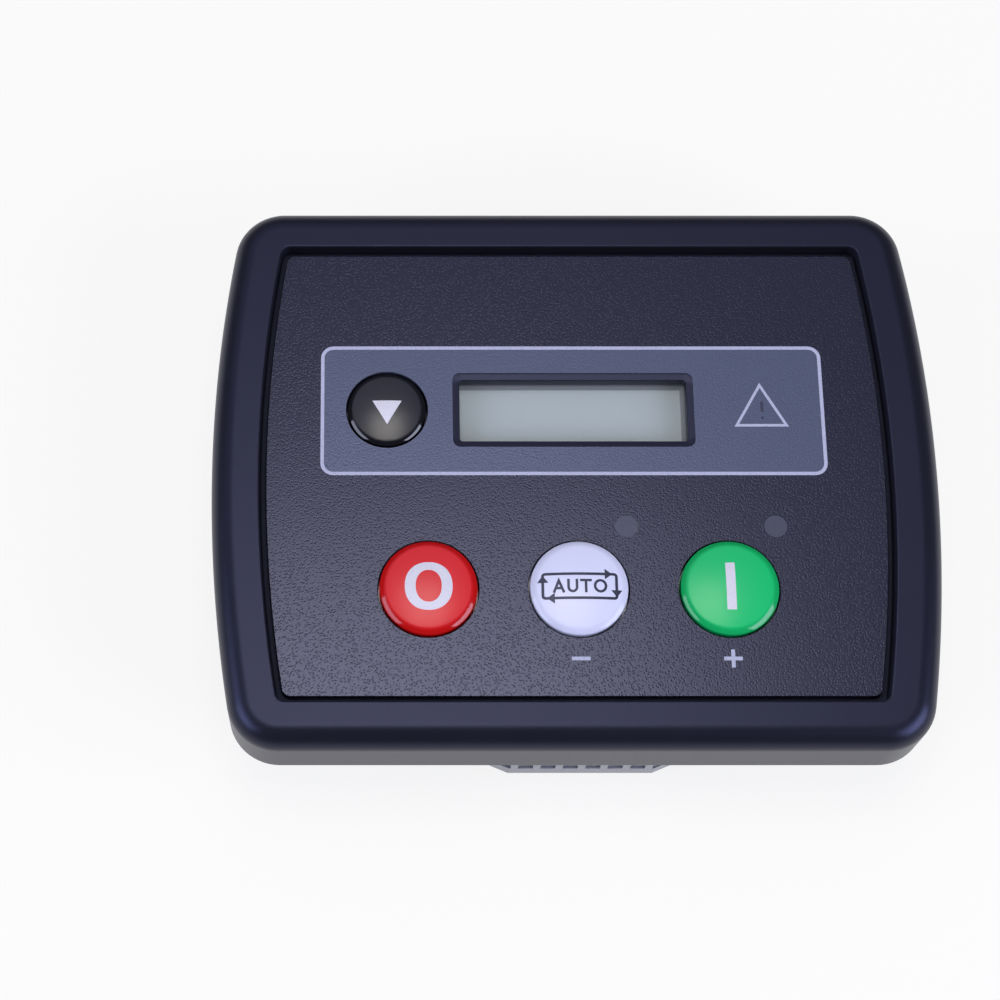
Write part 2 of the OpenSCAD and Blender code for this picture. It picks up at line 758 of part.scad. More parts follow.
module at_usb() mirror([0, 1, 0]) translate([usb_x, case_h / 2, board_under_z - usb_size[2] / 2]) children();

// Box along y with its centre on the data socket's axis
module usb_block(size, y0, y1) {
    translate([-size[0] / 2, y0, -size[1] / 2]) cube([size[0], y1 - y0, size[1]]);
}

module usb_socket() color("#b4b6b8") at_usb() {
    difference() {
        usb_block([usb_size[0], usb_size[2]], header_front_y - usb_size[1], header_front_y);
        usb_block(usb_mouth, header_front_y - usb_mouth_depth, header_front_y + over);
    }
    usb_block(usb_tongue, header_front_y - usb_mouth_depth - over, header_front_y - usb_tongue_back);
}

module rear_case() color("#26282e") difference() {
    union() {
        difference() {
            case_form();
            rounded_prism([case_w - 2 * case_wall, case_h - 2 * case_wall], case_corner_r - case_wall,
                case_wall, plate_z + over);
        }
        at_screws() rod(pillar_d, case_wall / 2, board_under_z);
    }
    at_screws() {
        rod(screw_d + 2 * screw_gap, -over, board_under_z + over);
        rod(screw_head_d + 2 * counterbore_gap, -over, counterbore_z);
    }
    at_supply() terminal_window(supply_ways, terminal_pitch);
    at_input() terminal_window(input_ways, terminal_pitch);
    at_generator() terminal_window(generator_ways, generator_pitch);
    at_usb() usb_block(usb_mouth + [usb_window_gap, usb_window_gap], -case_wall - over, over);
    for (sx = [-1, 1], sy = [-1, 1]) {
        translate([sx * (case_w / 2 - case_wall / 2), sy * slot_y, slot_z]) {
            cube([case_wall + 2 * over, slot_w, slot_h], center = true);
        }
    }
}

module case_screws() color("#a9aaa8") at_screws() {
    rod(screw_head_d, counterbore_z - screw_head_h, counterbore_z);
    rod(screw_d, counterbore_z - over, screw_end_z);
}

front_bezel();
fascia_overlay();
display_window();
lcd_frame();
lcd_glass();
lcd_backlight();
lcd_board();
lcd_connector();
lcd_standoffs();
circuit_board();
microcontroller();
auto_lamp();
start_lamp();
alarm_lamp();
auto_light_pipe();
start_light_pipe();
alarm_light_pipe();
scroll_switch();
stop_switch();
auto_switch();
start_switch();
scroll_plunger();
stop_plunger();
auto_plunger();
start_plunger();
scroll_button();
stop_button();
auto_button();
start_button();
fuel_relay();
start_relay();
supply_capacitors();
filter_inductor();
sensing_resistors();
supply_header();
supply_pins();
supply_plug();
supply_clamp_screws();
input_header();
input_pins();
input_plug();
input_clamp_screws();
generator_header();
generator_pins();
generator_plug();
generator_clamp_screws();
usb_socket();
rear_case();
case_screws();
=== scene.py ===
# %% [markdown]
# # Dressing a generator controller
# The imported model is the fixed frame: a moulded bezel and rear case, a textured face film, a small display,
# four push buttons, and plug-in terminals behind. Nothing in it is moved here. The lesson gives each piece
# its finish, remakes the bezel and the caps with the edges that a mould leaves, and prints the marks on
# them.

# %% Load the frame
import math

import bmesh
import bpy
import numpy as np
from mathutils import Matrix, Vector


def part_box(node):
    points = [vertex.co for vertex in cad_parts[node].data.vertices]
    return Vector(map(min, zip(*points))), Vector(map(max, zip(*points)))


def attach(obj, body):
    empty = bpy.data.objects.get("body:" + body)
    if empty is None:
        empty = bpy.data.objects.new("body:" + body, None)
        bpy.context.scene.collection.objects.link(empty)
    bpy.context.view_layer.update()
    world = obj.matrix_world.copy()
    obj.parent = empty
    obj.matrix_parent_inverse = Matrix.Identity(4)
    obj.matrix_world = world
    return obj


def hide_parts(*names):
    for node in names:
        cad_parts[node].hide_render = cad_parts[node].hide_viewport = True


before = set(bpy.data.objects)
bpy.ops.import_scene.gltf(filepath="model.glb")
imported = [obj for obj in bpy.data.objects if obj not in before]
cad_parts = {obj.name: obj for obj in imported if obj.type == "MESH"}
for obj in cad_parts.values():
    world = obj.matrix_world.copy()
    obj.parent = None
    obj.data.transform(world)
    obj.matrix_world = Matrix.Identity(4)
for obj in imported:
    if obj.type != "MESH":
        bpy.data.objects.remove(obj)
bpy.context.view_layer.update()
MM = 0.001

# %% [markdown]
# ## Sizes
# Each size that the frame can tell is measured from its nodes, so a change of the part carries over. The
# few that a box can't tell, such as radii, are written down once, in millimetres, as the moulding has them.


# %% Sizes measured from the frame
def node_box(name):
    """Lowest and highest corner of a node, in millimetres."""
    low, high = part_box(name)
    return np.array(low) / MM, np.array(high) / MM


def node_centre(name):
    """Middle of a node's box, in millimetres."""
    low, high = node_box(name)
    return (low + high) / 2


bezel_low, bezel_high = node_box("front_bezel")
overlay_low, overlay_high = node_box("fascia_overlay")
bezel_half = bezel_high[:2]
overlay_half = overlay_high[:2]
front_z = bezel_high[2]
seat_z = bezel_low[2]
overlay_z = overlay_high[2]
platform_z = overlay_low[2]
plate_z = node_box("display_window")[1][2]
display_centre = node_centre("display_window")[:2]

side_bow = 6.3
corner_r = 11.5
edge_r = 5.2
wall = 2.5
moat_w = 1.6
moat_depth = 4.2
recess_corner_r = 2.0
cap_d = 21.8
scroll_cap_d = 17.8
cap_gap = 0.35
pipe_gap = 0.15
aperture = np.array([52.0, 15.0])
aperture_r = 0.7

recess_half = overlay_half + moat_w
cavity_half = bezel_half - wall
moat_z = front_z - moat_depth
bow_r = (bezel_half[1] ** 2 + side_bow**2) / (2 * side_bow)
keys = ("scroll", "stop", "auto", "start")
lamps = ("auto", "start", "alarm")
key_place = {key: node_centre(f"{key}_button")[:2] for key in keys}
key_top = {key: node_box(f"{key}_button")[1][2] for key in keys}
print("bezel half size", bezel_half.round(2), "front", round(float(front_z), 2))
print("radius of its bowed sides", round(bow_r, 1))

# %% [markdown]
# ## Meshes from arrays
# Every new piece is a grid of points worked out as one numpy array, joined by quads. A few small helpers
# turn grids into meshes. Doubles are merged and the normals are turned outwards, so each shell is closed.


# %% Grid helpers
MERGE_DISTANCE, LEVEL_TOLERANCE, SHARP_DEG = 0.0005 * MM, 0.001 * MM, 40


def quads(rows, cols, wrap_rows=False, wrap_cols=False):
    """Quads between neighbouring points of a rows x cols grid, round the ends where it wraps."""
    r = np.arange(rows if wrap_rows else rows - 1)[:, None]
    c = np.arange(cols if wrap_cols else cols - 1)[None, :]
    below, right = (r + 1) % rows, (c + 1) % cols
    corners = [r * cols + c, r * cols + right, below * cols + right, below * cols + c]
    return np.stack(np.broadcast_arrays(*corners), -1).reshape(-1, 4)


def loft(rings, closed=False):
    """Surface through a stack of rings (rings, points, 3), and from the last to the first if closed."""
    count, points, _ = rings.shape
    return rings.reshape(-1, 3), quads(count, points, closed, True)


def slab(points, surface, lift, sink, closed=False):
    """Thin closed slab over a grid (rows, cols, 2): its top is lift above a surface z(x, y) and its underside
    sink below it. Each row gives one section, top points out and underside points back."""
    rows, cols, _ = points.shape
    z = surface(points[..., 0], points[..., 1])[..., None]
    section = np.concatenate([np.dstack([points, z + lift]), np.dstack([points, z - sink])[:, ::-1]], 1)
    faces = [quads(rows, 2 * cols, closed, True)]
    if not closed:
        i = np.arange(cols - 1)
        end = np.stack([i, i + 1, 2 * cols - 2 - i, 2 * cols - 1 - i], -1)
        faces += [end, end + (rows - 1) * 2 * cols]
    return section.reshape(-1, 3), np.concatenate(faces)


def join(parts):
    """Several (points, faces) pairs as one."""
    starts = np.cumsum([0] + [len(points) for points, _ in parts[:-1]])
    points = np.concatenate([points for points, _ in parts])
    return points, np.concatenate([faces + start for (_, faces), start in zip(parts, starts)])


def piece(name, parts, body, material, fill_levels=()):
    """Object from (points, faces) pairs in millimetres. Open rims at the fill levels are filled flat."""
    points, faces = join(parts)
    mesh = bpy.data.meshes.new(name)
    mesh.from_pydata((points * MM).tolist(), [], faces.tolist())
    work = bmesh.new()
    work.from_mesh(mesh)
    bmesh.ops.remove_doubles(work, verts=work.verts, dist=MERGE_DISTANCE)
    for level in fill_levels:
        rims = [e for e in work.edges if e.is_boundary]
        rim = [e for e in rims if all(abs(v.co.z - level * MM) < LEVEL_TOLERANCE for v in e.verts)]
        bmesh.ops.triangle_fill(work, use_beauty=True, edges=rim)
    bmesh.ops.recalc_face_normals(work, faces=work.faces)
    open_edges = sum(not e.is_manifold for e in work.edges)
    work.to_mesh(mesh)
    work.free()
    mesh.shade_smooth()
    mesh.set_sharp_from_angle(angle=math.radians(SHARP_DEG))
    mesh.materials.append(material)
    made = bpy.data.objects.new(name, mesh)
    bpy.context.scene.collection.objects.link(made)
    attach(made, body)
    print(f"{name}: {len(mesh.polygons)} faces, {open_edges} open edges")
    return made


# %% [markdown]
# ## Colour and nodes
# Colours are written as the sRGB hex values that a colour picker shows, and turned to linear light once.
# One function adds any node: a plain value sets a socket, and another node's output is linked to it.
# Patterns read Object coordinates, which are metres here, so a scale is the number of features in a metre.


# %% Colour and node helpers
MIX_A, MIX_B, MIX_OUT = 6, 7, 2


def linear(hex_colour):
    """Linear RGBA of an sRGB hex colour, by the sRGB transfer curve."""
    srgb = np.array([int(hex_colour[i : i + 2], 16) for i in (1, 3, 5)]) / 255
    rgb = np.where(srgb <= 0.04045, srgb / 12.92, ((srgb + 0.055) / 1.055) ** 2.4)
    return (*rgb.tolist(), 1.0)


def per_metre(size_mm):
    """Texture scale at which a feature is that many millimetres across."""
    return 1 / (size_mm * MM)


def add(material, kind, inputs=None, **settings):
    """Adds a node. Values in inputs set its sockets, and outputs of other nodes are linked to them."""
    node = material.node_tree.nodes.new("ShaderNode" + kind)
    for name, value in settings.items():
        setattr(node, name, value)
    for socket, value in (inputs or {}).items():
        if isinstance(value, bpy.types.NodeSocket):
            material.node_tree.links.new(value, node.inputs[socket])
        else:
            node.inputs[socket].default_value = value
    return node


def begin(name):
    """A material with no nodes yet, and the coordinates that its patterns read."""
    made = bpy.data.materials.new(name)
    made.use_nodes = True
    made.node_tree.nodes.clear()
    return made, add(made, "TexCoord").outputs["Object"]


def end(made, shader):
    """Links a shader to the material's output."""
    add(made, "OutputMaterial", {"Surface": shader.outputs[0]})
    return made


# %% [markdown]
# ## Moulded plastic
# The bezel is ABS from a mould whose steel was spark-eroded, which leaves a fine even grain and a satin
# sheen. The same recipe, with other colours and grains, serves the rear case, the terminals and the small
# parts inside. The grain is a bump of a few micrometres, drawn about half a millimetre wide, which is
# coarser than the real one, so that it can show. A slow cloud keeps a wide wall from being one flat colour.


# %% Moulded plastic
groove_lap = 0.3


def in_outline(made, place, half):
    """1 inside a bowed outline and 0 outside: |x| + y^2 / (2 R) < half width, and |y| < half height."""
    side_r = bow_r - (bezel_half[0] - half[0])
    fold = add(made, "VectorMath", {0: place}, operation="ABSOLUTE")
    axes = add(made, "SeparateXYZ", {0: fold.outputs[0]})
    square = add(made, "Math", {0: axes.outputs["Y"], 1: 2.0}, operation="POWER")
    bowed = {0: square.outputs[0], 1: 0.5 / (side_r * MM), 2: axes.outputs["X"]}
    width = add(made, "Math", bowed, operation="MULTIPLY_ADD")
    wide = add(made, "Math", {0: width.outputs[0], 1: half[0] * MM}, operation="LESS_THAN")
    high = add(made, "Math", {0: axes.outputs["Y"], 1: half[1] * MM}, operation="LESS_THAN")
    return add(made, "Math", {0: wide.outputs[0], 1: high.outputs[0]}, operation="MULTIPLY").outputs[0]


def moulded_plastic(name, dark, pale, grain_mm, depth_mm, rough, cloud_mm=22, matt_groove=0.0, **sockets):
    """Thermoplastic with a spark-eroded grain. rough is its least and greatest roughness. The groove round
    the face is left as the spark leaves the steel, unpolished, so it can have a matt roughness of its own."""
    made, place = begin(name)
    grain = add(made, "TexNoise", {"Vector": place, "Scale": per_metre(grain_mm), "Detail": 2.0})
    cloud = add(made, "TexNoise", {"Vector": place, "Scale": per_metre(cloud_mm), "Detail": 3.0})
    tint = add(made, "Mix", {0: cloud.outputs[0], MIX_A: linear(dark), MIX_B: linear(pale)}, data_type="RGBA")
    limits = {"Value": grain.outputs[0], "To Min": rough[0], "To Max": rough[1]}
    spread = add(made, "MapRange", limits).outputs[0]
    if matt_groove:
        outer = in_outline(made, place, recess_half)
        within = in_outline(made, place, overlay_half - groove_lap)
        groove_mask = add(made, "Math", {0: outer, 1: within}, operation="SUBTRACT")
        matt = add(made, "Math", {0: groove_mask.outputs[0], 1: matt_groove}, operation="MULTIPLY")
        spread = add(made, "Math", {0: spread, 1: matt.outputs[0]}, operation="MAXIMUM").outputs[0]
    bump = add(made, "Bump", {"Height": grain.outputs[0], "Distance": depth_mm * MM})
    inputs = {"Base Color": tint.outputs[MIX_OUT], "Roughness": spread, "Normal": bump.outputs[0]}
    named = {name.replace("_", " "): value for name, value in sockets.items()}
    return end(made, add(made, "BsdfPrincipled", {"IOR": 1.53, **inputs, **named}))


# The bezel's steel was blasted after the spark, so its satin is smoother than the case's, with a cool sheen
bezel_sheen = {"Specular_IOR_Level": 0.40, "Specular_Tint": linear("#bec4ff")}
bezel_abs = moulded_plastic(
    "bezel_abs", "#15151b", "#1a1a20", 0.5, 0.006, (0.31, 0.40), matt_groove=0.65, **bezel_sheen
)
# The case keeps the bare spark grain, so it is dull and a shade greyer
case_abs = moulded_plastic("case_abs", "#15161b", "#1b1c22", 0.6, 0.010, (0.45, 0.58))
print("plastics:", bezel_abs.name, case_abs.name)

# %% [markdown]
# ## The bezel
# One moulding: a rim with bowed sides and a rounded front edge, a land, a sunk recess with a moat round the
# face, and a plate with holes. It could be bevelled from the frame's solid, but a bevel on a tessellated
# curve leaves ripples. So the section is carried round the outline: each ring is the outline at one offset
# and height, and quarter circles in the section give the mould's small edge radii. The plate's flats are
# filled last.


# %% Outlines
ARC_STEPS, CORNER_STEPS, END_STEPS = 40, 14, 24


def bowed_ring(half, r, z):
    """Closed ring: each side is an arc about a point on the x axis, each end is straight, and circles of
    radius r touch both at the corners. One quarter is worked out, and the others are its mirror images."""
    side_r = bow_r - (bezel_half[0] - half[0])
    centre_y = half[1] - r
    centre_x = half[0] - side_r + math.sqrt((side_r - r) ** 2 - centre_y**2)
    lean = math.asin(centre_y / (side_r - r))
    a = np.linspace(0, lean, ARC_STEPS)
    b = np.linspace(lean, math.pi / 2, CORNER_STEPS)[1:]
    x = np.linspace(centre_x, 0, END_STEPS)[1:]
    side = np.stack([half[0] - side_r + side_r * np.cos(a), side_r * np.sin(a)], -1)
    corner = np.stack([centre_x + r * np.cos(b), centre_y + r * np.sin(b)], -1)
    quarter = np.concatenate([side, corner, np.stack([x, np.full_like(x, half[1])], -1)])
    signs = [(1, 1, 1), (-1, 1, -1), (-1, -1, 1), (1, -1, -1)]
    ring = np.concatenate([(quarter * (sx, sy))[::way][:-1] for sx, sy, way in signs])
    return np.column_stack([ring, np.full(len(ring), z)])


def circle_ring(centre, r, z, steps=96):
    """Closed circle of radius r at height z."""
    a = np.linspace(0, 2 * math.pi, steps, endpoint=False)
    return np.column_stack([centre[0] + r * np.cos(a), centre[1] + r * np.sin(a), np.full(steps, z)])


def box_ring(centre, half, r, z, steps=8):
    """Closed rectangle with rounded corners: a quarter circle about each corner's centre."""
    a = np.linspace(0, math.pi / 2, steps)
    turns = np.arange(4)[:, None] * math.pi / 2 + a
    signs = np.array([(1, 1), (-1, 1), (-1, -1), (1, -1)])
    middles = np.array(centre) + signs * (np.array(half) - r)
    ring = middles[:, None] + r * np.stack([np.cos(turns), np.sin(turns)], -1)
    return np.column_stack([ring.reshape(-1, 2), np.full(4 * steps, z)])


def bend(offset, z, r, start_deg, end_deg, steps=6):
    """Part of a circle in the section, as (offset, z) pairs: centre (offset, z), radius r."""
    a = np.radians(np.linspace(start_deg, end_deg, steps))
    return np.column_stack([offset + r * np.cos(a), z + r * np.sin(a)])


def along(half, r, section):
    """Rings of an outline at each (offset, z) of a section. An offset widens outline and corners alike."""
    return [bowed_ring(half + offset, r + offset, z) for offset, z in section]


print("points round an outline:", len(bowed_ring(bezel_half, corner_r, front_z)))

# %% Bezel section and holes
soft = 0.3
land_soft = 0.4
tight = 0.15
groove = 0.5
flat = 0.12
inner = 1.2
recess_wall = np.array([[0, moat_z + groove + flat], [0, front_z - land_soft - flat]])
cavity_soft = 1
cavity_wall = np.array([[0, seat_z + soft + flat], [0, plate_z - cavity_soft - flat]])
rim_rings = [
    *along(overlay_half, recess_corner_r, np.array([[-inner, platform_z], [-tight - flat, platform_z]])),
    *along(overlay_half, recess_corner_r, bend(-tight, platform_z - tight, tight, 90, 0)),
    *along(overlay_half, recess_corner_r, bend(groove, moat_z + groove, groove, 180, 270)),
    *along(recess_half, recess_corner_r, bend(-groove, moat_z + groove, groove, -90, 0)),
    *along(recess_half, recess_corner_r, recess_wall),
    *along(recess_half, recess_corner_r, bend(land_soft, front_z - land_soft, land_soft, 180, 90)),
    *along(recess_half, recess_corner_r, np.array([[land_soft + flat, front_z]])),
    *along(bezel_half, corner_r, np.array([[-edge_r - flat, front_z]])),
    *along(bezel_half, corner_r, bend(-edge_r, front_z - edge_r, edge_r, 90, 0, 24)),
    *along(bezel_half, corner_r, np.array([[0, front_z - edge_r - flat], [0, seat_z + soft + flat]])),
    *along(bezel_half, corner_r, bend(-soft, seat_z + soft, soft, 0, -90)),
    *along(cavity_half, corner_r - wall, bend(soft, seat_z + soft, soft, 270, 180)),
    *along(cavity_half, corner_r - wall, cavity_wall),
    *along(cavity_half, corner_r - wall, bend(-cavity_soft, plate_z - cavity_soft, cavity_soft, 0, 90)),
    *along(overlay_half, recess_corner_r, np.array([[0, plate_z], [-inner, plate_z]])),
]
lip = [(tight, platform_z), *(bend(tight, platform_z - tight, tight, 90, 180, 4)[1:]), (0, plate_z)]
hole_d = {**{key: cap_d for key in keys}, "scroll": scroll_cap_d}
round_holes = [(key_place[key], hole_d[key] / 2 + cap_gap) for key in keys]
for lamp in lamps:
    pipe_low, pipe_high = node_box(f"{lamp}_light_pipe")
    round_holes.append(((pipe_low + pipe_high)[:2] / 2, (pipe_high - pipe_low)[0] / 2 + pipe_gap))
hole_walls = [loft(np.stack([circle_ring(place, r + o, z) for o, z in lip])) for place, r in round_holes]
opening = [box_ring(display_centre, aperture / 2 + o, aperture_r + o, z) for o, z in lip]
hole_walls.append(loft(np.stack(opening)))
print(len(rim_rings), "rings in the rim,", len(hole_walls), "holes")

# %% [markdown]
# Behind the plate stand the ribs that stiffen the rim, the rib that centres the case, and four screw
# bosses. They are closed blocks and tubes that run a little into the plate, as they do in one moulding.

# %% Ribs and bosses behind the plate
case_low, case_high = node_box("rear_case")
screw_high = node_box("case_screws")[1]
board_z = node_box("circuit_board")[1][2]
rib_t, rib_drop, rib_gap, root = 1.4, 3.0, 0.6, 0.5
rib_x, rib_y = (-50, -20, 20, 50), (-25, 25)
case_wall, rib_fit, centring_t, centring_h, centring_r = 2.2, 0.2, 1.5, 4.0, 2.0
boss_r, pilot_r, screw_head_r, boss_steps = 3.5, 1.7, 2.8, 32


def block(low, high):
    """Closed box between two corners, as two rings of four points and two end quads."""
    (x0, y0, z0), (x1, y1, z1) = low, high
    foot = np.array([[x0, y0], [x1, y0], [x1, y1], [x0, y1]])
    points = np.concatenate([np.column_stack([foot, np.full(4, z)]) for z in (z0, z1)])
    return points, np.concatenate([quads(2, 4, False, True), [[3, 2, 1, 0], [4, 5, 6, 7]]])


def side_reach(y):
    """Half width of the cavity at a height y on the face, on its bowed side."""
    side_r = bow_r - wall
    return cavity_half[0] - side_r + math.sqrt(side_r**2 - y**2)


rib_span = (seat_z + rib_drop, plate_z + root)
backs = []
for x in rib_x:
    reach = cavity_half[1] + root
    for near, far in ((case_high[1] + rib_gap, reach), (-reach, case_low[1] - rib_gap)):
        backs.append(block((x - rib_t / 2, near, rib_span[0]), (x + rib_t / 2, far, rib_span[1])))
for y in rib_y:
    reach = side_reach(y) + root
    for near, far in ((case_high[0] + rib_gap, reach), (-reach, case_low[0] - rib_gap)):
        backs.append(block((near, y - rib_t / 2, rib_span[0]), (far, y + rib_t / 2, rib_span[1])))
rib_half = case_high[:2] - case_wall - rib_fit
rib_path = [(rib_half, plate_z + root), (rib_half, plate_z - centring_h)]
rib_path += [(rib_half - centring_t, z) for z in (plate_z - centring_h, plate_z + root)]
backs.append(loft(np.stack([box_ring((0, 0), half, centring_r, z) for half, z in rib_path]), closed=True))
screw_xy = screw_high[:2] - screw_head_r
tube = [(boss_r, plate_z + root), (boss_r, board_z), (pilot_r, board_z), (pilot_r, plate_z + root)]
for sign in ((1, 1), (-1, 1), (-1, -1), (1, -1)):
    boss = [circle_ring(screw_xy * sign, r, z, boss_steps) for r, z in tube]
    backs.append(loft(np.stack(boss), closed=True))
bezel_parts = [loft(np.stack(rim_rings)), *hole_walls, *backs]
bezel = piece("bezel_moulding", bezel_parts, "housing", bezel_abs, fill_levels=(platform_z, plate_z))
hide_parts("front_bezel")

# %% [markdown]
# ## The face film
# The overlay is polyester film embossed with a fine random grain and printed from behind. Under a lamp the
# grain breaks the shine into specks, so it is a bump of pits that lie about half a millimetre apart, a
# little coarser than the real emboss so that they show. The slate panel round the display is print, so it
# is a mask in the colour: the distance to a rounded rectangle, in Object coordinates.

# %% Face film
panel_centre = (-0.24, 14.36)
panel_half = np.array([57.1, 15.45])
panel_r = 2.5
pit_mm, film_depth_mm, ink_depth_mm = 0.55, 0.021, 0.010
film_rough = (0.32, 0.235)
SHEEN_BLUE = linear("#d2d5ff")


def film_grain(made, place, depth_mm):
    """Embossed grain of the film: its height field, a plateau with scattered pits, and the bump made of it.
    The height rises smoothly with the distance to the nearest of many random points."""
    cells = add(made, "TexVoronoi", {"Vector": place, "Scale": per_metre(pit_mm)})
    limits = {"Value": cells.outputs["Distance"], "From Min": 0.05, "From Max": 0.55}
    pits = add(made, "MapRange", limits, interpolation_type="SMOOTHSTEP")
    bump = add(made, "Bump", {"Height": pits.outputs[0], "Distance": depth_mm * MM})
    return pits.outputs[0], bump.outputs[0]


def embossed_film(name, face, panel):
    """Film with a printed panel: d = length(max(|p - centre| - (half - r), 0)), inside where d < r."""
    made, place = begin(name)
    height, normal = film_grain(made, place, film_depth_mm)
    core = [*(panel_half - panel_r) * MM, 1.0]
    away = add(made, "VectorMath", {0: place, 1: [*(np.array(panel_centre) * MM), 0.0]}, operation="SUBTRACT")
    fold = add(made, "VectorMath", {0: away.outputs[0]}, operation="ABSOLUTE")
    beyond = add(made, "VectorMath", {0: fold.outputs[0], 1: core}, operation="SUBTRACT")
    outside = add(made, "VectorMath", {0: beyond.outputs[0], 1: (0, 0, 0)}, operation="MAXIMUM")
    distance = add(made, "VectorMath", {0: outside.outputs[0]}, operation="LENGTH")
    inside = add(made, "Math", {0: distance.outputs["Value"], 1: panel_r * MM}, operation="LESS_THAN")
    inks = [
        add(made, "Mix", {0: height, MIX_A: linear(low), MIX_B: linear(high)}, data_type="RGBA")
        for low, high in (face, panel)
    ]
    mixed = {0: inside.outputs[0], MIX_A: inks[0].outputs[MIX_OUT], MIX_B: inks[1].outputs[MIX_OUT]}
    print_colour = add(made, "Mix", mixed, data_type="RGBA")
    spread = add(made, "MapRange", {"Value": height, "To Min": film_rough[0], "To Max": film_rough[1]})
    inputs = {"Base Color": print_colour.outputs[MIX_OUT], "Roughness": spread.outputs[0], "Normal": normal}
    shine = {"IOR": 1.57, "Specular IOR Level": 0.5, "Specular Tint": SHEEN_BLUE}
    return end(made, add(made, "BsdfPrincipled", {**inputs, **shine}))


def screen_ink(name, low, high, rough=0.5):
    """Screen-printed ink on the film: it keeps the film's grain and has a faint mottle of its own."""
    made, place = begin(name)
    height, normal = film_grain(made, place, ink_depth_mm)
    tint = add(made, "Mix", {0: height, MIX_A: linear(low), MIX_B: linear(high)}, data_type="RGBA")
    inputs = {"Base Color": tint.outputs[MIX_OUT], "Normal": normal, "Roughness": rough}
    return end(made, add(made, "BsdfPrincipled", {"IOR": 1.5, "Specular Tint": SHEEN_BLUE, **inputs}))


# Clear polyester over dark print: the print gives the colour, and the embossed top gives a soft cool sheen
face_film = embossed_film("face_film", ("#0c0d13", "#171821"), ("#3f4555", "#4f5668"))
# Ink lies dull on the film: pale for lines and signs, dark in the triangle, and grey over the lamps, as a
# thin print looks while they are off
pale_ink = screen_ink("pale_ink", "#a4a6ba", "#b6b8cc")
dark_ink = screen_ink("dark_ink", "#2b2d3a", "#363846")
window_ink = screen_ink("window_ink", "#3b3c46", "#43444e", 0.3)
print("film and inks:", face_film.name, pale_ink.name, dark_ink.name)

# %% [markdown]
# ## Printed marks
# Marks are thin slabs of ink, a few hundredths of a millimetre proud, so that their edges stay crisp at any
# distance. A line mark is a ribbon: a path, and at each point the mitred normal times half the line's
# width. The height comes from the surface that carries the mark, which is flat on the film and a dome on
# the caps.

# %% Ribbons and shapes
INK_LIFT, INK_SINK = 0.03, 0.05


def film_height(x, y):
    """The film's flat surface."""
    return np.full_like(x, overlay_z)


def ribbon(path, width, closed=False, cols=2):
    """Grid (points, cols, 2) of a line of that width along a path, mitred where the path turns."""
    ahead = np.roll(path, -1, 0) - path
    ahead /= np.linalg.norm(ahead, axis=1, keepdims=True)
    if not closed:
        ahead[-1] = ahead[-2]
    behind = np.roll(ahead, 1, 0)
    if not closed:
        behind[0] = ahead[0]
    turn = np.array([[0, 1], [-1, 0]])
    left, before = ahead @ turn, behind @ turn
    mitre = (left + before) / (1 + np.sum(left * before, 1, keepdims=True))
    across = np.linspace(-width / 2, width / 2, cols)
    return path[:, None] + across[None, :, None] * mitre[:, None]


def stretch(corners, step=0.4, closed=False):
    """Points along the straight lines between corners, about a step apart, with the corners kept."""
    corners = np.array(corners, float)
    ends = np.roll(corners, -1, 0) if closed else corners[1:]
    runs = []
    for a, b in zip(corners, ends):
        count = max(2, int(np.ceil(np.linalg.norm(b - a) / step)) + 1)
        runs.append(a + np.linspace(0, 1, count)[:-1, None] * (b - a))
    return np.concatenate(runs if closed else [*runs, corners[-1:]])


def wedge(base, tip, width, rows=8, cols=7, tip_w=0.08):
    """Grid of a filled triangle from the middle of its base to its tip, with a tip that is tip_w wide."""
    base, tip = np.array(base, float), np.array(tip, float)
    v = np.linspace(0, 1, rows)[:, None, None]
    u = np.linspace(-0.5, 0.5, cols)[None, :, None]
    ahead = (tip - base) / np.linalg.norm(tip - base)
    side = np.array([-ahead[1], ahead[0]])
    return base + v * (tip - base) + u * (width + v * (tip_w - width)) * side


def on_film(points, closed=False):
    """A slab of ink on the film."""
    return slab(points, film_height, INK_LIFT, INK_SINK, closed)


# %% [markdown]
# The marks on the film are a line round the slate panel, a plain triangle over the alarm lamp, and a minus
# and a plus under two of the buttons. Over the two other lamps the print is left thin, which shows as a
# grey disc. They could be an image on the film, but an image blurs when the view comes close, so each is a
# slab of its own.

# %% Marks on the film
line_w, alarm_w, sign_w, sign_long = 0.8, 0.62, 0.85, 4.1
line_path = box_ring(panel_centre, panel_half, panel_r, 0)[:, :2]
alarm_x = node_centre("alarm_light_pipe")[0]
alarm_foot, alarm_tip = 10.65, 20.5
alarm_path = [(alarm_x - 5.85, alarm_foot), (alarm_x + 5.5, alarm_foot), (alarm_x - 0.18, alarm_tip)]
minus_y = -44.6
minus_x, plus_x = key_place["auto"][0], key_place["start"][0]
arm = sign_long / 2
plus_bars = [[(plus_x - arm, minus_y), (plus_x + arm, minus_y)]]
plus_bars += [[(plus_x, minus_y + s * arm), (plus_x, minus_y + s * sign_w / 2)] for s in (1, -1)]
film_marks = {
    "panel_line": [on_film(ribbon(line_path, line_w, True), True)],
    "alarm_triangle": [on_film(ribbon(stretch(alarm_path, 1.0, True), alarm_w, True), True)],
    "minus_sign": [on_film(ribbon(stretch([(minus_x - arm, minus_y), (minus_x + arm, minus_y)]), sign_w))],
    "plus_sign": [on_film(ribbon(stretch(bar), sign_w)) for bar in plus_bars],
}
for name, parts in film_marks.items():
    piece(name, parts, "housing", pale_ink)
stroke_x, stroke_w = alarm_x + 0.1, 0.6
stroke = [(stroke_x, 16.5), (stroke_x, 13.9)]
dot = [(stroke_x, 12.8), (stroke_x, 12.2)]
piece("alarm_stroke", [on_film(ribbon(stretch(bar), stroke_w)) for bar in (stroke, dot)], "housing", dark_ink)

